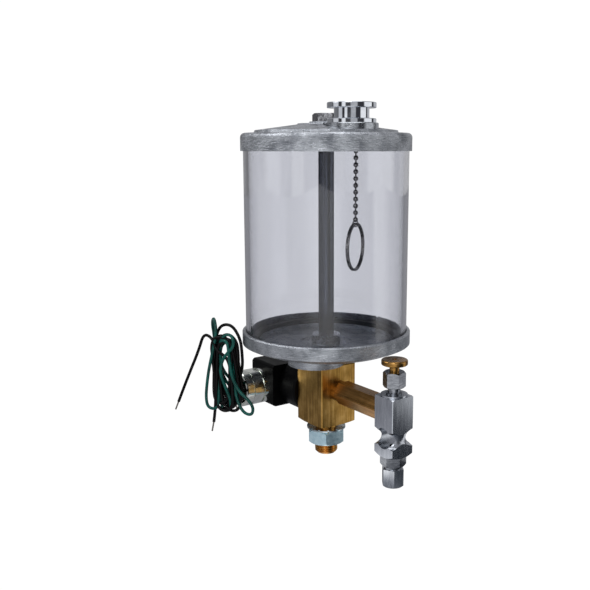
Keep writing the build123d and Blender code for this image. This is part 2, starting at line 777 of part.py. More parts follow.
# ================================================================ sight body
valve_axis = upright(valve_x, 0)
valve_turn = Axis((valve_x, 0, 0), (0, 0, 1))
body_corner_r = body_w / math.sqrt(2)
with BuildPart() as sight_body:
    with BuildSketch(Plane.XY.offset(body_bottom)):
        with Locations((valve_x, 0)):
            Rectangle(body_w, body_w)
    extrude(amount=body_h)
    chamfer(sight_body.edges().filter_by(Axis.Z), 0.4)
    # Turned waist: an arc between two short bevels, cut into the corners.
    waist_low = waist_z - waist_h / 2
    waist_high = waist_z + waist_h / 2
    cut_r = body_corner_r + 0.5
    lip_r = body_corner_r - waist_edge
    with BuildSketch(valve_axis):
        with BuildLine():
            Line((cut_r, waist_low - waist_edge / 2), (lip_r, waist_low))
            ThreePointArc((lip_r, waist_low), (waist_r, waist_z), (lip_r, waist_high))
            Polyline(
                (lip_r, waist_high),
                (cut_r, waist_high + waist_edge / 2),
                (cut_r, waist_low - waist_edge / 2),
            )
        make_face()
    revolve(axis=valve_turn, mode=Mode.SUBTRACT)
    # Turned cone on the corners of the foot, and a light one on the head.
    with BuildSketch(valve_axis):
        with BuildLine():
            Polyline(
                (foot_cone_r, body_bottom),
                (cut_r + 2, body_bottom),
                (cut_r + 2, body_bottom + foot_cone_h),
                (cut_r, body_bottom + foot_cone_h),
                close=True,
            )
        make_face()
        with BuildLine():
            Polyline(
                (body_corner_r - 1.0, body_top),
                (cut_r, body_top),
                (cut_r, body_top - 1.2),
                close=True,
            )
        make_face()
    revolve(axis=valve_turn, mode=Mode.SUBTRACT)
    # Sight window, bored straight through the waist from front to back.
    with BuildSketch(Plane(origin=(valve_x, 0, waist_z), z_dir=(0, 1, 0))):
        Circle(window_r)
    extrude(amount=body_w, both=True, mode=Mode.SUBTRACT)
    # Bores on the vertical axis, from the packing nut down to the outlet.
    bores = (
        (pack_neck_r + fit, body_top - pack_shank_len - packing_t, body_top),
        (needle_cavity_r, needle_cavity_bottom, body_top),
        (seat_hole_r, needle_cavity_bottom - seat_hole_h, needle_cavity_bottom),
        (nozzle_r + fit, waist_z, needle_cavity_bottom - seat_hole_h),
        (drip_chamber_r, waist_z, drip_ceiling_z),
        (outlet_r, body_bottom, waist_z),
        (union_spigot_r + fit, body_bottom, body_bottom + union_spigot_h),
    )
    for bore_r, bore_low, bore_high in bores:
        with BuildSketch(Plane.XY.offset(bore_low)):
            with Locations((valve_x, 0)):
                Circle(bore_r)
        extrude(amount=bore_high - bore_low, mode=Mode.SUBTRACT)
    # Side inlet: socket of the arm's nose, then its drilling.
    inlet_plane = Plane(origin=(arm_x_end, 0, arm_z), x_dir=(0, 1, 0), z_dir=(1, 0, 0))
    with BuildSketch(inlet_plane):
        Circle(arm_nose_r + fit)
    extrude(amount=arm_nose_len, mode=Mode.SUBTRACT)
    with BuildSketch(inlet_plane):
        Circle(arm_bore_r)
    extrude(amount=valve_x - arm_x_end, mode=Mode.SUBTRACT)
sight_body.part.label = "sight_body"
export_step(sight_body.part, "parts/sight_body.step")

nozzle_top = needle_cavity_bottom - seat_hole_h
drip_nozzle = turned(
    [
        (nozzle_bore_r, nozzle_tip_z),
        (nozzle_r - 0.8, nozzle_tip_z),
        (nozzle_r, nozzle_tip_z + 1.6),
        (nozzle_r, nozzle_top),
        (nozzle_bore_r, nozzle_top),
    ],
    valve_axis,
)
drip_nozzle.part.label = "drip_nozzle"
export_step(drip_nozzle.part, "parts/drip_nozzle.step")

# ================================================================ needle valve
packing_washer = turned(
    [
        (pack_neck_r + fit, body_top),
        (pack_washer_r, body_top),
        (pack_washer_r, pack_seat),
        (pack_neck_r + fit, pack_seat),
    ],
    valve_axis,
)
packing_washer.part.label = "packing_washer"
export_step(packing_washer.part, "parts/packing_washer.step")

pack_hex_bottom = pack_seat + pack_neck_h
packing_hex = hex_nut(
    Plane(origin=(valve_x, 0, pack_hex_bottom)), pack_hex_af, pack_hex_h, 0, turn=-18.8
)
with BuildPart() as packing_nut:
    add(packing_hex.part)
    shank_bottom = body_top - pack_shank_len
    shank_len = pack_hex_bottom - shank_bottom
    with BuildSketch(Plane.XY.offset(shank_bottom)):
        with Locations((valve_x, 0)):
            Circle(pack_neck_r)
    extrude(amount=shank_len)
    with BuildSketch(Plane.XY.offset(pack_seat)):
        with Locations((valve_x, 0)):
            Circle(pack_neck_r + 1.2)
    extrude(amount=0.8)
    with BuildSketch(Plane.XY.offset(shank_bottom)):
        with Locations((valve_x, 0)):
            Circle(stem_r + running_fit)
    extrude(amount=shank_len + pack_hex_h, mode=Mode.SUBTRACT)
packing_nut.part.label = "packing_nut"
export_step(packing_nut.part, "parts/packing_nut.step")

packing_bottom = shank_bottom - packing_t
stem_packing = turned(
    [
        (pin_r + running_fit, packing_bottom),
        (packing_r, packing_bottom),
        (packing_r, shank_bottom),
        (pin_r + running_fit, shank_bottom),
    ],
    valve_axis,
)
stem_packing.part.label = "stem_packing"
export_step(stem_packing.part, "parts/stem_packing.step")

needle = turned(
    [
        (0, needle_tip_z),
        (needle_tip_r, needle_tip_z),
        (pin_r, needle_tip_z + needle_tip_h),
        (pin_r, pin_top_z),
        (stem_r, pin_top_z),
        (stem_r, knob_bottom),
        (knob_spigot_r, knob_bottom),
        (knob_spigot_r, knob_bottom + knob_h - 0.5),
        (0, knob_bottom + knob_h - 0.5),
    ],
    valve_axis,
)
needle.part.label = "needle"
export_step(needle.part, "parts/needle.step")

with BuildPart() as needle_knob:
    with BuildSketch(Plane.XY.offset(knob_bottom)):
        with Locations((valve_x, 0)):
            Circle(knob_r)
    extrude(amount=knob_h)
    fillet(needle_knob.edges(), 0.9)
    with BuildSketch(Plane.XY.offset(knob_bottom)):
        with Locations((valve_x, 0)):
            Circle(knob_spigot_r + running_fit)
    extrude(amount=knob_h, mode=Mode.SUBTRACT)
needle_knob.part.label = "needle_knob"
export_step(needle_knob.part, "parts/needle_knob.step")

# ================================================================ outlet fitting
union_hex = hex_nut(
    Plane(origin=(valve_x, 0, union_bottom)), union_af, union_h, 0, turn=-11.5, high=False
)
union_neck_bottom = union_bottom - union_neck_h
with BuildPart() as outlet_fitting:
    add(union_hex.part)
    with BuildSketch(Plane.XY.offset(body_bottom)):
        with Locations((valve_x, 0)):
            Circle(union_spigot_r)
    extrude(amount=union_spigot_h)
    with BuildSketch(Plane.XY.offset(union_neck_bottom)):
        with Locations((valve_x, 0)):
            Circle(union_neck_r)
    extrude(amount=union_neck_h)
    with BuildSketch(Plane.XY.offset(union_neck_bottom)):
        with Locations((valve_x, 0)):
            Circle(outlet_r)
    extrude(amount=union_neck_h + union_h + union_spigot_h, mode=Mode.SUBTRACT)
    with BuildSketch(Plane.XY.offset(union_neck_bottom)):
        with Locations((valve_x, 0)):
            Circle(line_r)
    extrude(amount=line_stop - union_neck_bottom, mode=Mode.SUBTRACT)
outlet_fitting.part.label = "outlet_fitting"
export_step(outlet_fitting.part, "parts/outlet_fitting.step")

ferrule_top = union_neck_bottom
ferrule_bottom = ferrule_top - ferrule_h
ferrule = turned(
    [
        (line_r, ferrule_bottom),
        (line_r + 0.3, ferrule_bottom),
        (line_r + ferrule_wall, ferrule_top - ferrule_h / 2),
        (line_r + ferrule_wall, ferrule_top),
        (line_r, ferrule_top),
    ],
    valve_axis,
)
ferrule.part.label = "ferrule"
export_step(ferrule.part, "parts/ferrule.step")

compression_hex = hex_nut(
    Plane(origin=(valve_x, 0, comp_nut_bottom)), comp_nut_af, comp_nut_h, 0, turn=25.6, high=False
)
with BuildPart() as compression_nut:
    add(compression_hex.part)
    thread_r = union_neck_r + fit
    with BuildSketch(valve_axis):
        with BuildLine():
            Polyline(
                (0, comp_nut_bottom),
                (line_r, comp_nut_bottom),
                (line_r, ferrule_bottom - 0.4),
                (line_r + ferrule_wall + fit, ferrule_bottom + ferrule_h / 2 - 0.2),
                (thread_r, ferrule_bottom + ferrule_h / 2 + 0.1),
                (thread_r, comp_nut_top),
                (0, comp_nut_top),
                close=True,
            )
        make_face()
    revolve(axis=valve_turn, mode=Mode.SUBTRACT)
compression_nut.part.label = "compression_nut"
export_step(compression_nut.part, "parts/compression_nut.step")

# ================================================================ solenoid
# Turned profiles along -X: local x is the radius, local y runs away from the block.


def along_coil(points):
    """A turned piece on the solenoid's axis: points are (radius, x)."""
    return turned([(radius, -x) for radius, x in points], Plane(
        origin=(0, 0, coil_z), x_dir=(0, 0, 1), z_dir=(0, -1, 0)
    ))


solenoid_base = along_coil(
    [
        (core_r + fit, -block_face),
        (coil_base_r - coil_base_round, -block_face),
        (coil_base_r, -block_face - coil_base_round),
        (coil_base_r, coil_face_x + coil_base_round),
        (coil_base_r - coil_base_round, coil_face_x),
        (core_r + fit, coil_face_x),
    ]
)
solenoid_base.part.label = "solenoid_base"
export_step(solenoid_base.part, "parts/solenoid_base.step")

with BuildPart() as coil_housing:
    housing_w = coil_y_max - coil_y_min
    housing_h = coil_z_max - coil_z_min
    housing_y = (coil_y_max + coil_y_min) / 2
    housing_z = (coil_z_max + coil_z_min) / 2
    with BuildSketch(Plane(origin=(coil_face_x, housing_y, housing_z), x_dir=(0, 1, 0), z_dir=(-1, 0, 0))):
        RectangleRounded(housing_w, housing_h, coil_round)
    extrude(amount=coil_len)
    chamfer(coil_housing.faces().sort_by(Axis.X)[0].edges(), 0.8)
    with BuildSketch(Plane(origin=(coil_face_x, 0, coil_z), x_dir=(0, 1, 0), z_dir=(-1, 0, 0))):
        Circle(core_r + fit)
    extrude(amount=coil_len, mode=Mode.SUBTRACT)
coil_housing.part.label = "coil_housing"
export_step(coil_housing.part, "parts/coil_housing.step")

core_start = -block_face + core_socket_h
core_tube = along_coil(
    [
        (core_bore_r, core_start),
        (core_r, core_start),
        (core_r, coil_end_x),
        (core_stub_r, coil_end_x),
        (core_stub_r, coil_end_x - core_stub_len + 0.5),
        (core_stub_r - 0.5, coil_end_x - core_stub_len),
        (0, coil_end_x - core_stub_len),
        (0, core_stop_x),
        (core_bore_r, core_stop_x),
    ]
)
core_tube.part.label = "core_tube"
export_step(core_tube.part, "parts/core_tube.step")

coil_washer = along_coil(
    [
        (core_stub_r + fit, coil_end_x),
        (coil_washer_r, coil_end_x),
        (coil_washer_r, coil_end_x - coil_washer_t),
        (core_stub_r + fit, coil_end_x - coil_washer_t),
    ]
)
coil_washer.part.label = "coil_washer"
export_step(coil_washer.part, "parts/coil_washer.step")

coil_nut = hex_nut(
    Plane(origin=(coil_end_x - coil_washer_t, 0, coil_z), x_dir=(0, 1, 0), z_dir=(-1, 0, 0)),
    coil_nut_af,
    coil_nut_h,
    core_stub_r + fit,
    low=False,
)
coil_nut.part.label = "coil_nut"
export_step(coil_nut.part, "parts/coil_nut.step")

plunger_front = chamber_seat_x - valve_seat_h - seat_gap / 2
plunger_back = plunger_front - plunger_len
pocket_end = plunger_back + plunger_pocket_h
plunger = along_coil(
    [
        (0, plunger_front),
        (plunger_r - 1.2, plunger_front),
        (plunger_r, plunger_front - 1.2),
        (plunger_r, plunger_back),
        (plunger_pocket_r, plunger_back),
        (plunger_pocket_r, pocket_end),
        (0, pocket_end),
    ]
)
plunger.part.label = "plunger"
export_step(plunger.part, "parts/plunger.step")

spring_from = pocket_end - spring_wire_r
spring_len = spring_from - core_stop_x - spring_wire_r
with BuildPart() as plunger_spring:
    spring_plane = Plane(origin=(spring_from, 0, coil_z), x_dir=(0, 1, 0), z_dir=(-1, 0, 0))
    with BuildLine() as spring_path:
        Helix(
            pitch=spring_len / spring_turns,
            height=spring_len,
            radius=spring_r,
            center=spring_plane.origin,
            direction=spring_plane.z_dir,
        )
    with BuildSketch(Plane(origin=spring_path.line @ 0, z_dir=spring_path.line % 0)):
        Circle(spring_wire_r)
    sweep(is_frenet=True)
plunger_spring.part.label = "plunger_spring"
export_step(plunger_spring.part, "parts/plunger_spring.step")

# ================================================================ conduit hub
hub_plane = Plane(origin=(hub_x, coil_y_min, hub_z), x_dir=(1, 0, 0), z_dir=(0, -1, 0))
hub_band_len = hub_len - hub_back_len - hub_front_len
with BuildPart() as conduit_hub:
    with BuildSketch(hub_plane):
        Circle(hub_ring_r)
    extrude(amount=hub_back_len)
    with BuildSketch(hub_plane.offset(hub_back_len)):
        RegularPolygon(hub_band_af / 2, 6, major_radius=False)
        Circle(hub_ring_r, mode=Mode.INTERSECT)
    extrude(amount=hub_band_len)
    with BuildSketch(hub_plane.offset(hub_len - hub_front_len)):
        Circle(hub_ring_r)
    extrude(amount=hub_front_len)
    for groove_at in (hub_back_len, hub_len - hub_front_len - hub_groove_w):
        with BuildSketch(hub_plane.offset(groove_at)):
            Circle(hub_ring_r + 1)
            Circle(hub_groove_r, mode=Mode.SUBTRACT)
        extrude(amount=hub_groove_w, mode=Mode.SUBTRACT)
    with BuildSketch(hub_plane.offset(hub_len)):
        Circle(hub_mouth_r)
    extrude(amount=-hub_mouth_len, mode=Mode.SUBTRACT)
    chamfer(conduit_hub.edges().sort_by(Axis.Y)[0:2], 0.6)
conduit_hub.part.label = "conduit_hub"
export_step(conduit_hub.part, "parts/conduit_hub.step")

with BuildPart() as lead_grommet:
    with BuildSketch(hub_plane.offset(hub_len - hub_mouth_len)):
        Circle(hub_mouth_r - fit)
    extrude(amount=grommet_t)
lead_grommet.part.label = "lead_grommet"
export_step(lead_grommet.part, "parts/lead_grommet.step")

# ================================================================ leads
hank_u = Vector(1, 0, 0).rotate(Axis.Z, hank_heading)
hank_n = Vector(0, 1, 0).rotate(Axis.Z, hank_heading)


def at_hank(u, n, z):
    """A point by the hank: u across it, n through it, z up."""
    return Vector(hank_x, hank_y, z) + hank_u * u + hank_n * n


with BuildPart() as lead_hank:
    hank_plane = Plane(
        origin=at_hank(hank_shift, hank_t / 2, hank_bottom + hank_h / 2), x_dir=hank_u, z_dir=-hank_n
    )
    with BuildSketch(hank_plane):
        SlotOverall(hank_h, hank_w, rotation=90)
    extrude(amount=hank_t)
    fillet(lead_hank.edges(), hank_round)
lead_hank.part.label = "lead_hank"
export_step(lead_hank.part, "parts/lead_hank.step")


def lead_tube(name, points):
    """A lead's free stretch: straight runs joined by arcs as large as they allow."""
    runs = [b - a for a, b in zip(points, points[1:])]
    radii = []
    for before, after in zip(runs, runs[1:]):
        half_turn = math.radians(before.get_angle(after)) / 2
        shorter = min(before.length, after.length)
        radii.append(arc_share * shorter / math.tan(half_turn))
    with BuildPart() as tube:
        with BuildLine() as route:
            if radii:
                FilletPolyline(*points, radius=radii)
            else:
                Line(points[0], points[-1])
        with BuildSketch(Plane(origin=points[0], z_dir=runs[0])):
            Circle(lead_r)
        sweep()
    length = sum(edge.length for edge in route.line.edges())
    section = math.pi * lead_r**2
    print(name, "length", round(length, 1), "radii", [round(r, 1) for r in radii])
    print(name, "volume / section x length", round(tube.part.volume / (section * length), 4))
    tube.part.label = name
    return tube


def at_hub(across, up, y):
    """A point by the hub's mouth: across and up from the hub's axis."""
    return Vector(hub_x + across, y, hub_z + up)


lead_turn_y = hank_y + hank_turn_off

lead_black_run = lead_tube(
    "lead_black_run",
    [
        at_hub(lead_spread, lead_up, lead_exit_y),
        at_hub(lead_spread, lead_up, lead_turn_y),
        at_hank(8, 8.5, 40),
        at_hank(13, 1.5, 60),
        at_hank(8.5, -0.5, 69.5),
        at_hank(-3.5, 0, 69.5),
        at_hank(-5.5, 0.5, 56),
    ],
)
export_step(lead_black_run.part, "parts/lead_black_run.step")

lead_black_two_run = lead_tube(
    "lead_black_two_run",
    [
        at_hub(0, -lead_down, lead_exit_y),
        at_hub(0, -lead_down, lead_turn_y),
        at_hank(-3, 2, 30),
    ],
)
export_step(lead_black_two_run.part, "parts/lead_black_two_run.step")

lead_green_run = lead_tube(
    "lead_green_run",
    [
        at_hub(-lead_spread, lead_up, lead_exit_y),
        at_hub(-lead_spread, lead_up, lead_turn_y),
        at_hank(-13.5, 9, 40),
        at_hank(-12.5, 8, 58),
        at_hank(-11.5, 7.5, 69),
        at_hank(-9, -1, 69),
        at_hank(-9, -1, 55),
    ],
)
export_step(lead_green_run.part, "parts/lead_green_run.step")

black_tail_route = [
    at_hank(-6, -3.2, 46),
    at_hank(-7, -3.2, 58),
    at_hank(-14.5, -3.2, 61.5),
    at_hank(-19.5, -3.2, 48),
    at_hank(-30, -3.2, 27),
    at_hank(-38.8, -3.2, 8),
]
lead_black_tail = lead_tube("lead_black_tail", black_tail_route)
export_step(lead_black_tail.part, "parts/lead_black_tail.step")

black_two_tail_route = [at_hank(-5, -3, 12), at_hank(-8, -3.5, -2)]
lead_black_two_tail = lead_tube("lead_black_two_tail", black_two_tail_route)
export_step(lead_black_two_tail.part, "parts/lead_black_two_tail.step")

green_tail_route = [at_hank(0, 3, 36), at_hank(1.5, 7.8, 25), at_hank(3, 7.8, 12)]
lead_green_tail = lead_tube("lead_green_tail", green_tail_route)
export_step(lead_green_tail.part, "parts/lead_green_tail.step")

# Stripped and tinned ends, one on each tail.
with BuildPart() as stripped_ends:
    for route in (black_tail_route, black_two_tail_route, green_tail_route):
        with BuildSketch(Plane(origin=route[-1], z_dir=route[-1] - route[-2])):
            Circle(lead_tip_r)
        extrude(amount=lead_tip_len)
stripped_ends.part.label = "stripped_ends"
export_step(stripped_ends.part, "parts/stripped_ends.step")
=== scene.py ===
import json
import math

import bmesh
import bpy
from mathutils import Matrix, Vector


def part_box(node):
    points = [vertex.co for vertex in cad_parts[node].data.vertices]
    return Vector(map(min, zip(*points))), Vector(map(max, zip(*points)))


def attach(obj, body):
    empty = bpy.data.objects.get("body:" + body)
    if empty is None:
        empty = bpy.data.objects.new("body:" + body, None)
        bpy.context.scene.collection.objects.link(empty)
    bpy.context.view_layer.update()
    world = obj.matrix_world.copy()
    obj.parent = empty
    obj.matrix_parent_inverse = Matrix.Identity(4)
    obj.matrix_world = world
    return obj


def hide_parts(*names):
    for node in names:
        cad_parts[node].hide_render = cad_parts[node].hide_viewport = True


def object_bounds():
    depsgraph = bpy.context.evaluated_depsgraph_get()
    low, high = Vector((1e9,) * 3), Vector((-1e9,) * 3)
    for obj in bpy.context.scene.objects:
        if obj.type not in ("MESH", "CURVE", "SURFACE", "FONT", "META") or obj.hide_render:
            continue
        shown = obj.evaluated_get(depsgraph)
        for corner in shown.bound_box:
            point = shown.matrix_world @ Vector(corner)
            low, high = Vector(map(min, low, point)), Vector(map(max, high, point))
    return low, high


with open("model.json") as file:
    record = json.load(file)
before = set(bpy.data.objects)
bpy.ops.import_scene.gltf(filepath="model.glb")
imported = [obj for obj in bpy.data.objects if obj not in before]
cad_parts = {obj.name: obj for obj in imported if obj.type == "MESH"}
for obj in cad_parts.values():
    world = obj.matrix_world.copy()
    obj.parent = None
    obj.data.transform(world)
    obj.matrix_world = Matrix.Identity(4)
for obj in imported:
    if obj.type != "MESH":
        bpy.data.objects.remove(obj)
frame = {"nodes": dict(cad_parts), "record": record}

# An automatic oil lubricator: clear reservoir between cast ends on a tie rod, over
# a brass valve block with a solenoid, a sight-drip outlet arm and a mounting stud.
# Sizes and places are in millimetres, and become metres where a piece is made.
CAD_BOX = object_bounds()
MM = 0.001
NODES = frame["nodes"]

scene = bpy.context.scene


def low(node):
    """Lowest corner of a node's box at rest, in millimetres."""
    return [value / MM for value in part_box(node)[0]]


def high(node):
    """Highest corner of a node's box at rest, in millimetres."""
    return [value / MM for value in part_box(node)[1]]


def placed(name, data):
    """A new object in the scene, at the origin."""
    thing = bpy.data.objects.new(name, data)
    scene.collection.objects.link(thing)
    return thing


def aimed(direction):
    """Turn that points a camera or a lamp along a direction."""
    return direction.to_track_quat("-Z", "Y").to_euler()


# ------------------------------------------------------------------ camera
EYE_DISTANCE = 532.0      # from the reservoir's axis
EYE_HEIGHT = 186.7
EYE_HEADING = -36.5       # degrees from +X
EYE_PITCH = 10.5          # degrees down
FOCAL_LENGTH = 48.8
FRAME_SHIFT = -0.0529     # the reservoir stands right of the frame's middle
NEAR_CLIP = 50.0

heading = math.radians(EYE_HEADING)
pitch = math.radians(EYE_PITCH)
camera_data = bpy.data.cameras.new("camera")
camera_data.lens = FOCAL_LENGTH
camera_data.shift_x = FRAME_SHIFT
camera_data.clip_start = NEAR_CLIP * MM
camera = placed("camera", camera_data)
camera.location = (
    EYE_DISTANCE * math.cos(heading) * MM,
    EYE_DISTANCE * math.sin(heading) * MM,
    EYE_HEIGHT * MM,
)
camera.rotation_euler = aimed(
    Vector(
        (
            -math.cos(heading) * math.cos(pitch),
            -math.sin(heading) * math.cos(pitch),
            -math.sin(pitch),
        )
    )
)
scene.camera = camera

# ------------------------------------------------------------------ node trees
ALONG_X = (0.03, 1.0, 1.0)     # scales that draw a grain out along one axis
ALONG_Z = (1.0, 1.0, 0.03)
EVEN = (1.0, 1.0, 1.0)


def colour(code):
    """Linear RGBA of an sRGB hex code."""
    channels = [int(code[i : i + 2], 16) / 255 for i in (0, 2, 4)]
    linear = [c / 12.92 if c <= 0.04045 else ((c + 0.055) / 1.055) ** 2.4 for c in channels]
    return (*linear, 1.0)


def feed(tree, node, inputs):
    """Sets a node's inputs: each is a value, or the socket that feeds it."""
    for key, value in inputs.items():
        socket = node.inputs[key]
        if isinstance(value, bpy.types.NodeSocket):
            tree.links.new(value, socket)
        else:
            socket.default_value = value


def add(tree, kind, inputs=None, **settings):
    """Adds a node with its own settings, and feeds its inputs."""
    node = tree.nodes.new(kind)
    for key, value in settings.items():
        setattr(node, key, value)
    feed(tree, node, inputs or {})
    return node


def maths(tree, operation, *terms):
    """One sum on numbers or sockets."""
    return add(
        tree, "ShaderNodeMath", dict(enumerate(terms)), operation=operation
    ).outputs[0]


def blank(name):
    """A material with an empty tree, its shader, its Object coordinates and its output."""
    material = bpy.data.materials.new(name)
    material.use_nodes = True
    tree = material.node_tree
    tree.nodes.clear()
    shader = add(tree, "ShaderNodeBsdfPrincipled")
    output = add(tree, "ShaderNodeOutputMaterial", {"Surface": shader.outputs[0]})
    place = add(tree, "ShaderNodeTexCoord").outputs["Object"]
    return material, tree, shader, place, output


def stretched(tree, place, scale):
    """Object coordinates scaled along each axis, for grain that runs one way."""
    return add(tree, "ShaderNodeMapping", {"Vector": place, "Scale": scale}).outputs[0]


def noise(tree, place, size_mm, detail=3.0, roughness=0.5):
    """Noise whose features are about size_mm across."""
    return add(
        tree,
        "ShaderNodeTexNoise",
        {"Vector": place, "Scale": 1 / (size_mm * MM), "Detail": detail, "Roughness": roughness},
    ).outputs[0]


def ramp(tree, factor, stops):
    """Colours along a factor: stops are (position, hex code)."""
    node = add(tree, "ShaderNodeValToRGB", {"Fac": factor})
    elements = node.color_ramp.elements
    while len(elements) < len(stops):
        elements.new(0.5)
    for element, (position, code) in zip(elements, stops):
        element.position = position
        element.color = colour(code)
    return node.outputs[0]


def span(tree, factor, low_value, high_value, from_low=0.3, from_high=0.7):
    """Maps a factor, noise as a rule, onto a range of values."""
    return add(
        tree,
        "ShaderNodeMapRange",
        {
            "Value": factor,
            "From Min": from_low,
            "From Max": from_high,
            "To Min": low_value,
            "To Max": high_value,
        },
    ).outputs[0]


def bump(tree, height, depth_mm, strength):
    """Surface relief of a real depth, as a normal."""
    return add(
        tree,
        "ShaderNodeBump",
        {"Height": height, "Distance": depth_mm * MM, "Strength": strength},
    ).outputs[0]


def average(tree, *factors):
    """Average of several factors, so that their tones mix."""
    total = factors[0]
    for factor in factors[1:]:
        total = maths(tree, "ADD", total, factor)
    return maths(tree, "MULTIPLY", total, 1 / len(factors))


# ------------------------------------------------------------------ materials
# In each of them, rough is the lowest and the highest roughness of its surface.


def brass_bar(name, dark, middle, pale, rough, run=ALONG_Z):
    # Free-machining brass bar, dulled to an olive brown: fine draw lines along the
    # bar, broad streaks of tarnish along them and a satin sheen.
    material, tree, shader, place, _ = blank(name)
    along = stretched(tree, place, run)
    tarnish = noise(tree, place, 8.0, detail=4.0, roughness=0.6)
    lines = noise(tree, along, 0.5, detail=2.0)
    streaks = noise(tree, along, 2.4)
    stops = ((0.38, dark), (0.5, middle), (0.62, pale))
    feed(
        tree,
        shader,
        {
            "Base Color": ramp(tree, average(tree, tarnish, lines, streaks), stops),
            "Metallic": 1.0,
            "Roughness": span(tree, streaks, *rough),
            "Normal": bump(tree, lines, depth_mm=0.03, strength=0.6),
        },
    )
    return material


def cast_aluminium(name, dark, pale, grain_mm, depth_mm):
    # Sand-cast aluminium, barrelled grey: level faces keep a pebbled cast skin and the
    # turned rims carry short horizontal tool marks that break up the light.
    material, tree, shader, place, _ = blank(name)
    grain = noise(tree, place, 2 * grain_mm, detail=5.0, roughness=0.7)
    cloud = noise(tree, place, 11.0)
    marks = noise(tree, stretched(tree, place, (0.3, 0.3, 3.0)), 1.4, detail=4.0, roughness=0.75)
    normal = add(tree, "ShaderNodeNewGeometry").outputs["Normal"]
    rise = add(tree, "ShaderNodeSeparateXYZ", {0: normal}).outputs["Z"]
    level = span(tree, maths(tree, "ABSOLUTE", rise), 0.0, 1.0, from_low=0.15, from_high=0.5)
    relief = add(
        tree, "ShaderNodeMix", {"Factor": level, "A": marks, "B": grain}, data_type="FLOAT"
    ).outputs["Result"]
    feed(
        tree,
        shader,
        {
            "Base Color": ramp(tree, average(tree, relief, cloud), ((0.36, dark), (0.64, pale))),
            "Metallic": 0.9,
            "Roughness": span(tree, relief, 0.4, 0.2),
            "Normal": bump(tree, relief, depth_mm, strength=1.0),
        },
    )
    return material


def plated(name, pale, dark, rough, patch_mm=3.0, depth_mm=0.01, run=EVEN):
    # Plated metal: a thin bright skin with faint clouds where the plating took
    # unevenly, and the fine marks of the machining under it.
    material, tree, shader, place, _ = blank(name)
    along = stretched(tree, place, run)
    cloud = noise(tree, along, patch_mm, detail=4.0, roughness=0.6)
    feed(
        tree,
        shader,
        {
            "Base Color": ramp(tree, cloud, ((0.35, dark), (0.65, pale))),
            "Metallic": 1.0,
            "Roughness": span(tree, cloud, *rough),
            "Normal": bump(tree, noise(tree, along, 0.5), depth_mm, strength=0.5),
        },
    )
    return material


def drawn_bar(name, dark, pale, rough):
    # Cold-drawn steel bar: dark and bright, with fine lines along its length (Z). Its dark tones
    # are painted shade and painted dark reflection, not the steel's own colour.
    material, tree, shader, place, _ = blank(name)
    lines = noise(tree, stretched(tree, place, (1.0, 1.0, 0.02)), 0.6, detail=2.0)
    feed(
        tree,
        shader,
        {
            "Base Color": ramp(tree, lines, ((0.35, dark), (0.65, pale))),
            "Metallic": 1.0,
            "Roughness": span(tree, lines, *rough),
            "Normal": bump(tree, lines, depth_mm=0.01, strength=0.4),
        },
    )
    return material


def clear_plastic(name, dark, pale, rough, ior):
    # Extruded acrylic: clear, with a smoky violet-grey cast and a hard gloss.
    material, tree, shader, place, _ = blank(name)
    haze = noise(tree, stretched(tree, place, (1.0, 1.0, 0.2)), 22.0, detail=2.0)
    feed(
        tree,
        shader,
        {
            "Base Color": ramp(tree, haze, ((0.3, dark), (0.7, pale))),
            "Transmission Weight": 1.0,
            "IOR": ior,
            "Roughness": span(tree, haze, *rough),
        },
    )
    return material


def moulded(name, pale, dark, rough, grain_mm, depth_mm, shine=0.5):
    # A moulded or extruded polymer: even colour, soft sheen and a fine skin.
    material, tree, shader, place, _ = blank(name)
    cloud = noise(tree, place, grain_mm * 18)
    feed(
        tree,
        shader,
        {
            "Base Color": ramp(tree, cloud, ((0.35, dark), (0.65, pale))),
            "Roughness": span(tree, cloud, *rough),
            "IOR": 1.5,
            "Specular IOR Level": shine,
            "Normal": bump(tree, noise(tree, place, grain_mm, detail=2.0), depth_mm, strength=0.6),
        },
    )
    return material


BLOCK_BRASS = brass_bar("milled brass bar", "7c5e2a", "a17c3f", "c9a362", (0.24, 0.4))
ARM_BRASS = brass_bar("drawn brass hexagon", "84602e", "a67a44", "c4965c", (0.26, 0.4), ALONG_X)
TURNED_BRASS = brass_bar(
    "turned brass", "745426", "98713a", "c09458", (0.14, 0.26), run=(0.3, 0.3, 2.0)
)
THREAD_BRASS = brass_bar(
    "threaded brass", "9c6a2c", "c48c42", "e0ac5e", (0.16, 0.26), run=(0.5, 0.5, 0.5)
)
SATIN_NICKEL = plated(
    "satin nickel", "bcc0c7", "a9adb4", (0.2, 0.28),
    patch_mm=1.6, depth_mm=0.012, run=(1.0, 1.0, 0.15),
)
BRIGHT_NICKEL = plated(
    "bright nickel", "e6e9ee", "c6cad0", (0.16, 0.28),
    patch_mm=1.6, depth_mm=0.012, run=(1.0, 1.0, 0.2),
)
FITTING_NICKEL = plated(
    "turned nickel", "9b9ea4", "6f7278", (0.14, 0.28),
    patch_mm=1.2, depth_mm=0.03, run=(0.3, 0.3, 1.5),
)
ZINC = plated("blue zinc plated steel", "d6f1fa", "bfdfeb", (0.34, 0.44))
TOP_ZINC = plated("dull zinc plated steel", "9c9da1", "6e6f74", (0.16, 0.3), patch_mm=2.0)
LOWER_ZINC = plated("oily zinc plated steel", "a8acb4", "7a7e87", (0.16, 0.3), patch_mm=2.0)
DARK_WASHER = plated("zinc plated spring steel", "ccd6da", "a4aeb2", (0.2, 0.34))
CAP_NICKEL = plated(
    "polished nickel plate", "e2e6ec", "cdd1d8", (0.04, 0.09), patch_mm=6.0, depth_mm=0.004
)
NECK_PLATE = plated(
    "satin plated casting", "bcc0c6", "8b8f95", (0.12, 0.3), patch_mm=0.8, depth_mm=0.08
)
CHAIN_NICKEL = plated("nickel plated brass", "a8a6a4", "7c7a78", (0.06, 0.12), patch_mm=1.0)
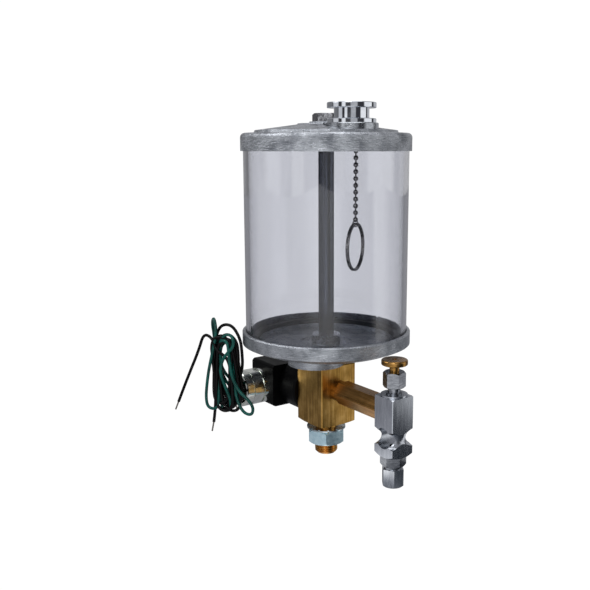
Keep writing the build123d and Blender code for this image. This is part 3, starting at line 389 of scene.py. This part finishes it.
HUB_ZINC = plated("chromated zinc casting", "f2f5f1", "dcdfd6", (0.1, 0.22), depth_mm=0.015)
TINNED = plated(
    "tinned copper strand", "a9a49b", "7a746a", (0.25, 0.45), patch_mm=0.5, depth_mm=0.08
)
LID_CAST = cast_aluminium("cast aluminium lid", "6c7077", "ccd0d6", grain_mm=1.0, depth_mm=0.5)
BASE_CAST = cast_aluminium("cast aluminium base", "6e7278", "bec2c8", grain_mm=0.6, depth_mm=0.3)
# The tie rod's dark blue-grey tones are painted shade and painted dark reflection, far darker than
# bright steel's own colour.
BAR_STEEL_IN_PAINTED_SHADE = drawn_bar("drawn steel bar", "3a3e49", "585d69", (0.16, 0.28))
ACRYLIC = clear_plastic("clear acrylic", "dedfe4", "e3e4e9", (0.0, 0.03), ior=1.49)
NITRILE = moulded("black nitrile rubber", "101012", "08080a", (0.4, 0.55), 0.4, 0.02)
COIL_BLACK = moulded(
    "black moulded nylon", "060607", "030304", (0.36, 0.5), 0.5, 0.03, shine=0.06
)
POTTING = moulded(
    "black potting compound", "0e0e0e", "070707", (0.25, 0.5), 1.2, 0.1, shine=0.3
)
FIBRE = moulded("brown fibre sheet", "5b4a3a", "46382b", (0.6, 0.8), 0.6, 0.05)
FLUOROPOLYMER = moulded("white fluoropolymer", "e4e2dc", "d6d3cb", (0.4, 0.5), 0.8, 0.01)
WIRE_BLACK = moulded(
    "black vinyl insulation", "080608", "030203", (0.3, 0.42), 0.5, 0.006, shine=0.16
)
WIRE_GREEN = moulded(
    "dark green vinyl insulation", "06584f", "033f39", (0.28, 0.4), 0.5, 0.006, shine=0.3
)

FINISH = {
    "brass": BLOCK_BRASS,
    "satin_nickel": SATIN_NICKEL,
    "fibre_gasket": FIBRE,
    "dark_steel": DARK_WASHER,
    "zinc_steel": ZINC,
    "cast_aluminium": BASE_CAST,
    "black_rubber": NITRILE,
    "clear_acrylic": ACRYLIC,
    "bright_steel": BAR_STEEL_IN_PAINTED_SHADE,
    "plated_die_cast": NECK_PLATE,
    "polished_plate": CAP_NICKEL,
    "nickel_chain": CHAIN_NICKEL,
    "white_packing": FLUOROPOLYMER,
    "black_moulding": COIL_BLACK,
    "zinc_die_cast": HUB_ZINC,
    "black_potting": POTTING,
    "black_lead": WIRE_BLACK,
    "green_lead": WIRE_GREEN,
    "tinned_copper": TINNED,
}
# Pieces that look different from the others in their slot.
OWN_FINISH = {
    "lid_casting": LID_CAST,
    "outlet_arm": ARM_BRASS,
    "packing_nut": FITTING_NICKEL,
    "outlet_fitting": FITTING_NICKEL,
    "compression_nut": BRIGHT_NICKEL,
    "needle": TURNED_BRASS,
    "needle_knob": TURNED_BRASS,
    "ferrule": TURNED_BRASS,
    "tie_rod_top_nut": TOP_ZINC,
    "tie_rod_lower_nut": LOWER_ZINC,
}
SLOT_OF = {row["node"]: row["material_slot"] for row in frame["record"]["subparts"]}

for node_name, node_object in NODES.items():
    node_object.data.materials.clear()
    node_object.data.materials.append(OWN_FINISH.get(node_name, FINISH[SLOT_OF[node_name]]))

# ------------------------------------------------------------------ leads
# The leads' sizes and places are those of the solids that they replace.
LEAD_DIAMETER = 2.1
HUB_AXIS = (-48.9, 17.5)       # X and Z of the hub, whose mouth faces -Y
LEAD_SPREAD = 3.2              # the outer two leave the hub left and right of its axis
LEAD_UP = 1.8                  # and above it
LEAD_DOWN = 3.4                # and the middle one leaves below it
LEAD_EXIT_Y = -30.0
LEAD_TURN_Y = -44.5            # where a lead starts to bend towards the hank
HANK_CENTRE = (-41.5, -56.0)
HANK_HEADING = 25.0            # degrees from +X, of the way across the hank
TURN_POINTS = 16               # points round each turn of the hank
STRAY_RATES = (2.3, 3.1, 1.7)  # unlike rates, so that no two turns lie the same way

hank_u = Vector((math.cos(math.radians(HANK_HEADING)), math.sin(math.radians(HANK_HEADING)), 0))
hank_n = Vector((-hank_u.y, hank_u.x, 0))


def at_hank(u, n, z):
    """A point by the hank: u across it, n through it, z up."""
    return Vector((*HANK_CENTRE, z)) + hank_u * u + hank_n * n


def hank_path(*stops):
    """Points by the hank, each given as (u, n, z)."""
    return [at_hank(*stop) for stop in stops]


def hub_exit(across, up):
    """A lead's way straight out of the hub: across and up from the hub's axis."""
    return [
        Vector((HUB_AXIS[0] + across, y, HUB_AXIS[1] + up)) for y in (LEAD_EXIT_Y, LEAD_TURN_Y)
    ]


def hank_turns(first, last, turns, start, n_from, n_to, wander):
    """Loose turns, up the right side and down the left, from one loop's size to another.

    first and last are (middle u, middle z, half width, half height, lean) of a loop:
    its foot stands lean to the right of its head. start is where on it the lead
    joins, in parts of a turn from the middle of its right side, and wander is how
    far the turns stray from each other."""
    points = []
    count = round(turns * TURN_POINTS)
    u_rate, z_rate, width_rate = STRAY_RATES
    for step in range(count):
        share = step / max(count - 1, 1)
        u, z, half_w, half_h, lean = (a + (b - a) * share for a, b in zip(first, last))
        turn = step / TURN_POINTS
        u += wander * math.sin(u_rate * turn + start)
        z += wander * math.sin(z_rate * turn + 2 * start)
        half_w += 0.5 * wander * math.sin(width_rate * turn + 1)
        # The loop is two straight sides joined by half circles.
        side = half_h - half_w
        bend = math.pi * half_w
        way = ((start + turn) % 1) * (4 * side + 2 * bend)
        if way < side:
            across, rise = half_w, way
        elif way < side + bend:
            angle = (way - side) / half_w
            across, rise = half_w * math.cos(angle), side + half_w * math.sin(angle)
        elif way < 3 * side + bend:
            across, rise = -half_w, 2 * side + bend - way
        elif way < 3 * side + 2 * bend:
            angle = (way - 3 * side - bend) / half_w
            across, rise = -half_w * math.cos(angle), -side - half_w * math.sin(angle)
        else:
            across, rise = half_w, way - 4 * side - 2 * bend
        n = n_from + (n_to - n_from) * share
        points.append(at_hank(u + across - lean * rise / (2 * half_h), n, z + rise))
    return points


def lead(name, material, slot, route, tail_pieces, *replaced):
    """One lead as a smooth cord along its route, on the root body."""
    curve = bpy.data.curves.new(name, "CURVE")
    curve.dimensions = "3D"
    spline = curve.splines.new("NURBS")
    spline.points.add(len(route) - 1)
    for point, place in zip(spline.points, route):
        point.co = (*(place * MM), 1.0)
    spline.order_u = 3
    spline.use_endpoint_u = True
    spline.resolution_u = 8
    curve.bevel_depth = LEAD_DIAMETER / 2 * MM
    curve.bevel_resolution = 4
    curve.use_fill_caps = True
    curve.materials.append(material)
    piece = placed(name, curve)
    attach(piece, "root")
    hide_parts(*replaced)


# One black lead makes the big loop at the top, then turns of the hank, and hooks over
# to hang out to the left with its stripped end.
BLACK_ROUTE = [
    *hub_exit(LEAD_SPREAD, LEAD_UP),
    *hank_path(
        (9, 8.5, 36), (14.5, 0, 50), (15, -2.5, 60), (8, -1.5, 68.5), (-2, 0, 67.5),
        (-7, 0.5, 60), (-8, 1, 48),
    ),
    *hank_turns(
        (-0.5, 34, 7, 25, -4), (0.5, 33.5, 7, 24.5, -3),
        turns=3.5, start=0.45, n_from=1.0, n_to=-4.0, wander=2.2,
    ),
    *hank_path(
        (7.5, -4.5, 43), (1.5, -4.4, 48), (-4.5, -3.6, 50), (-7.5, -3.2, 58),
        (-15, -3.2, 60.5), (-19.5, -3.2, 48), (-30, -3.2, 27), (-38.8, -3.2, 8),
    ),
]
# The other black lead makes the turns further right, and ends below the hank.
BLACK_TWO_ROUTE = [
    *hub_exit(0, -LEAD_DOWN),
    *hank_path((2, 4.5, 20), (6, 4, 30)),
    *hank_turns(
        (1.5, 34.5, 7, 25, 3), (3, 34, 7.5, 25, 7),
        turns=4.5, start=0.05, n_from=3.5, n_to=-3.5, wander=2.0,
    ),
    *hank_path((-6, -3.3, 20), (-6.5, -3.2, 8), (-8, -3.5, -2)),
]
# The green lead rises on the left and goes down the front of the hank three times: to
# a fold, from a small upper loop, and out to a low loop on the right. It ends behind.
GREEN_ROUTE = [
    *hub_exit(-LEAD_SPREAD, LEAD_UP),
    *hank_path(
        (-14, 9, 42), (-14.5, 8, 57), (-14.5, 6, 67), (-8, 0, 72), (-4.5, -2.5, 62),
        (-6.5, -3.5, 52), (-9.5, -5, 38), (-11.5, -5.3, 27), (-13, -5.3, 15),
        (-11.5, -5, 8), (-4.5, -4, 8), (-3.5, -3, 15), (-4.5, -1.5, 25), (-4, -1, 40),
        (-3, -2, 54), (3, -3.5, 62), (10, -4.4, 62), (11.5, -5, 54.5), (5, -5.5, 48.5),
        (1, -5.5, 42), (0, -5.5, 34), (3.5, -4, 24), (6.5, -2.2, 14), (4.5, -1.5, 7),
        (-2.5, -0.5, 7), (-4.5, 0, 15), (-3, 0, 32), (-2.5, -1, 47), (-1.5, -3, 57),
        (6, -4.5, 58), (7.5, -5.5, 46), (10, -6, 33), (15.5, -6, 24), (23, -6, 19.5),
        (27, -5.7, 14), (25, -5.5, 8.5), (17.5, -5, 9.5), (11, -3, 18),
    ),
    *hank_turns(
        (0.5, 34, 7, 23, -2), (1, 33.5, 7, 23, -2),
        turns=1.5, start=0.0, n_from=-1.0, n_to=2.5, wander=0.8,
    ),
    *hank_path((-5.5, 4, 32), (-3.5, 6, 25), (1, 7.5, 20), (3, 7.8, 12)),
]
lead(
    "black_lead_one", WIRE_BLACK, "black_lead", BLACK_ROUTE, [NODES["stripped_ends"]],
    "lead_black_run", "lead_black_tail", "lead_hank",
)
lead(
    "black_lead_two", WIRE_BLACK, "black_lead", BLACK_TWO_ROUTE, [],
    "lead_black_two_run", "lead_black_two_tail",
)
lead(
    "green_lead", WIRE_GREEN, "green_lead", GREEN_ROUTE, [],
    "lead_green_run", "lead_green_tail",
)

# ------------------------------------------------------------------ stud
# The mounting stud's free end, below the jam nut, shows the helix of its thread.
STUD_SIDES = 72
STUD_MAJOR_R = 7.9
STUD_ENGAGED_R = 7.6           # plain, where the nut and the block hide it
STUD_THREAD_DEPTH = 0.8
STUD_PITCH = 1.41
STUD_ROWS_PER_PITCH = 12
STUD_CHAMFER = 1.6
STUD_FREE_TOP = -15.3
STUD_RUN_OUT = 0.35            # the thread stops this far below the free end's top
FLANK_SLOPE = 1.3              # over 1, so that the roots are flat
CREST_FLAT = 0.1               # and so are the crests
SHARP_ANGLE = 32.0             # degrees between faces, above which an edge is sharp


def finish_mesh(name, bm, material, slot, body, *replaced):
    """A finished piece from a mesh drawn in millimetres at rest."""
    bmesh.ops.scale(bm, vec=(MM, MM, MM), verts=bm.verts)
    bmesh.ops.recalc_face_normals(bm, faces=bm.faces)
    mesh = bpy.data.meshes.new(name)
    bm.to_mesh(mesh)
    bm.free()
    mesh.materials.append(material)
    for face in mesh.polygons:
        face.use_smooth = True
    mesh.set_sharp_from_angle(angle=math.radians(SHARP_ANGLE))
    piece = placed(name, mesh)
    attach(piece, body)
    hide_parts(*replaced)


def lathe_rows(bm, rows, sides):
    """Skins a stack of rings and closes its ends: each row is (z, radii round it)."""
    rings = []
    for z, radii in rows:
        ring = []
        for side in range(sides):
            angle = 2 * math.pi * side / sides
            x, y = radii[side] * math.cos(angle), radii[side] * math.sin(angle)
            ring.append(bm.verts.new((x, y, z)))
        rings.append(ring)
    for below, above in zip(rings, rings[1:]):
        for side in range(sides):
            after = (side + 1) % sides
            bm.faces.new((below[side], below[after], above[after], above[side]))
    bm.faces.new(rings[0][::-1])
    bm.faces.new(rings[-1])


def thread_radius(z, side, lead_in):
    """The thread's radius at a height and a side, no more than the chamfer allows."""
    phase = (z / STUD_PITCH - side / STUD_SIDES) % 1
    groove = min(1.0, max(0.0, FLANK_SLOPE * (1 - abs(2 * phase - 1)) - CREST_FLAT))
    return min(lead_in, STUD_MAJOR_R - STUD_THREAD_DEPTH * groove)


stud_bottom = low("mounting_stud")[2]
stud_top = high("mounting_stud")[2]
stud_rows = [(stud_bottom, [STUD_MAJOR_R - STUD_CHAMFER] * STUD_SIDES)]
stud_z = stud_bottom
while stud_z < STUD_FREE_TOP - STUD_RUN_OUT:
    stud_z += STUD_PITCH / STUD_ROWS_PER_PITCH
    chamfer_r = STUD_MAJOR_R - STUD_CHAMFER + min(STUD_CHAMFER, stud_z - stud_bottom)
    stud_rows.append(
        (stud_z, [thread_radius(stud_z, side, chamfer_r) for side in range(STUD_SIDES)])
    )
for stud_z in (STUD_FREE_TOP, stud_top):
    stud_rows.append((stud_z, [STUD_ENGAGED_R] * STUD_SIDES))
stud_mesh = bmesh.new()
lathe_rows(stud_mesh, stud_rows, STUD_SIDES)
finish_mesh("threaded_stud", stud_mesh, THREAD_BRASS, "brass", "root", "mounting_stud")

# ------------------------------------------------------------------ studio
FLOOR_GAP = 0.3                # between the floor and the lowest piece
FLOOR_SIZE = 6000.0
WHITE = "ffffff"
WHITE_STRENGTH = 1.03          # what the eye sees straight on
FLOOR_STRENGTH = 1.2           # what metal mirrors of the floor
WALL_STRENGTH = 1.05           # and of the walls
CEILING_TONE = "9c9ca0"

# Grey tones round the studio, as (heading in degrees, hex code).
FLOOR_TONES = (
    (-180, "848488"), (-152, "7c7c82"), (-140, "8e8e8e"), (-124, "8c8c90"), (-108, "96969c"),
    (-92, "a4a4a8"), (-70, "b4b4b8"), (-54, "ececee"), (-30, "ffffff"), (-14, "84868c"),
    (4, "404449"), (22, "2c3036"), (29, "3c4046"), (33, "ffffff"), (48, "dcdcde"), (62, "6c6c70"),
    (80, "787a7e"), (120, "8c8c90"), (180, "848488"),
)
# Lamps and flags round the horizon, which polished plating shows as upright bands.
WALL_TONES = (
    (-180, "7c7c7e"), (-139, "7c7c7e"), (-134, "303032"), (-129, "d8d8da"), (-104, "d8d8da"),
    (-99, "3c3c3e"), (-86, "3c3c3e"), (-82, "ffffff"), (-69, "ffffff"), (-64, "4a4a4c"),
    (-46, "4a4a4c"), (-40, "b8b8ba"), (-14, "b8b8ba"), (-9, "3a3a3e"), (19, "3a3a3e"),
    (25, "ffffff"), (66, "fafafa"), (70, "303032"), (80, "303032"), (86, "bcbcbe"),
    (140, "b8b8ba"), (180, "7c7c7e"),
)


def bands(tree, place, tones):
    """The tones round the studio, as colours for a shader."""
    turn = add(tree, "ShaderNodeTexGradient", {"Vector": place}, gradient_type="RADIAL")
    stops = [(heading / 360 + 0.5, code) for heading, code in tones]
    return ramp(tree, turn.outputs["Fac"], stops)


def glow(tree, kind, tone, strength):
    """A shader that gives light of its own."""
    return add(tree, kind, {"Color": tone, "Strength": strength}).outputs[0]


def studio_white(output, tree, fill, lit):
    """Pure white where the eye looks straight at it, also through clear plastic, and
    its own tones in what metal mirrors."""
    ray = add(tree, "ShaderNodeLightPath").outputs
    straight = maths(tree, "LESS_THAN", ray["Glossy Depth"], 0.5)
    seen = maths(tree, "MAXIMUM", ray["Is Camera Ray"], ray["Is Transmission Ray"])
    white = maths(tree, "MULTIPLY", seen, straight)
    mix = add(tree, "ShaderNodeMixShader", {0: white, 1: fill, 2: lit})
    feed(tree, output, {"Surface": mix.outputs[0]})


def floor_finish():
    # A studio floor: pure white to the eye, with the darker tones of a real one in
    # what metal mirrors of it. To an eye below it, it is clear.
    material, tree, shader, place, output = blank("studio floor")
    tree.nodes.remove(shader)
    fill = glow(tree, "ShaderNodeEmission", bands(tree, place, FLOOR_TONES), FLOOR_STRENGTH)
    lit = glow(tree, "ShaderNodeEmission", colour(WHITE), WHITE_STRENGTH)
    clear = add(tree, "ShaderNodeBsdfTransparent").outputs[0]
    under = add(tree, "ShaderNodeNewGeometry").outputs["Backfacing"]
    lit_or_clear = add(tree, "ShaderNodeMixShader", {0: under, 1: lit, 2: clear}).outputs[0]
    studio_white(output, tree, fill, lit_or_clear)
    return material


floor_z = CAD_BOX[0][2] / MM - FLOOR_GAP
floor_mesh = bpy.data.meshes.new("floor")
floor_bm = bmesh.new()
bmesh.ops.create_grid(
    floor_bm,
    x_segments=1,
    y_segments=1,
    size=FLOOR_SIZE / 2 * MM,
    matrix=Matrix.Translation((0, 0, floor_z * MM)),
)
floor_bm.to_mesh(floor_mesh)
floor_bm.free()
floor_mesh.materials.append(floor_finish())
placed("floor", floor_mesh)

world = bpy.data.worlds.new("studio")
scene.world = world
world.use_nodes = True
world_tree = world.node_tree
world_tree.nodes.clear()
world_place = add(world_tree, "ShaderNodeTexCoord").outputs["Generated"]
# The walls fade into an even ceiling above the lamps.
up_share = add(world_tree, "ShaderNodeSeparateXYZ", {0: world_place}).outputs["Z"]
sky = add(
    world_tree,
    "ShaderNodeMix",
    {
        "Factor": span(world_tree, up_share, 0.0, 1.0, from_low=0.25, from_high=0.6),
        "A": bands(world_tree, world_place, WALL_TONES),
        "B": colour(CEILING_TONE),
    },
    data_type="RGBA",
).outputs["Result"]
studio_white(
    add(world_tree, "ShaderNodeOutputWorld"),
    world_tree,
    glow(world_tree, "ShaderNodeBackground", sky, WALL_STRENGTH),
    glow(world_tree, "ShaderNodeBackground", colour(WHITE), WHITE_STRENGTH),
)


def soft_box(name, place, target, width, height, power):
    """A rectangular studio lamp aimed at a point, in millimetres and watts."""
    lamp_data = bpy.data.lights.new(name, "AREA")
    lamp_data.shape = "RECTANGLE"
    lamp_data.size = width * MM
    lamp_data.size_y = height * MM
    lamp_data.energy = power
    lamp = placed(name, lamp_data)
    lamp.location = Vector(place) * MM
    lamp.rotation_euler = aimed(Vector(target) - Vector(place))


soft_box("key_light", (700, -900, 700), (0, 0, 100), 600, 800, power=4.5)
soft_box("side_light", (-500, -700, 800), (0, 0, 90), 500, 600, power=3.0)
soft_box("top_light", (0, 0, 900), (0, 0, 100), 600, 600, power=2.4)

scene.view_settings.view_transform = "Standard"
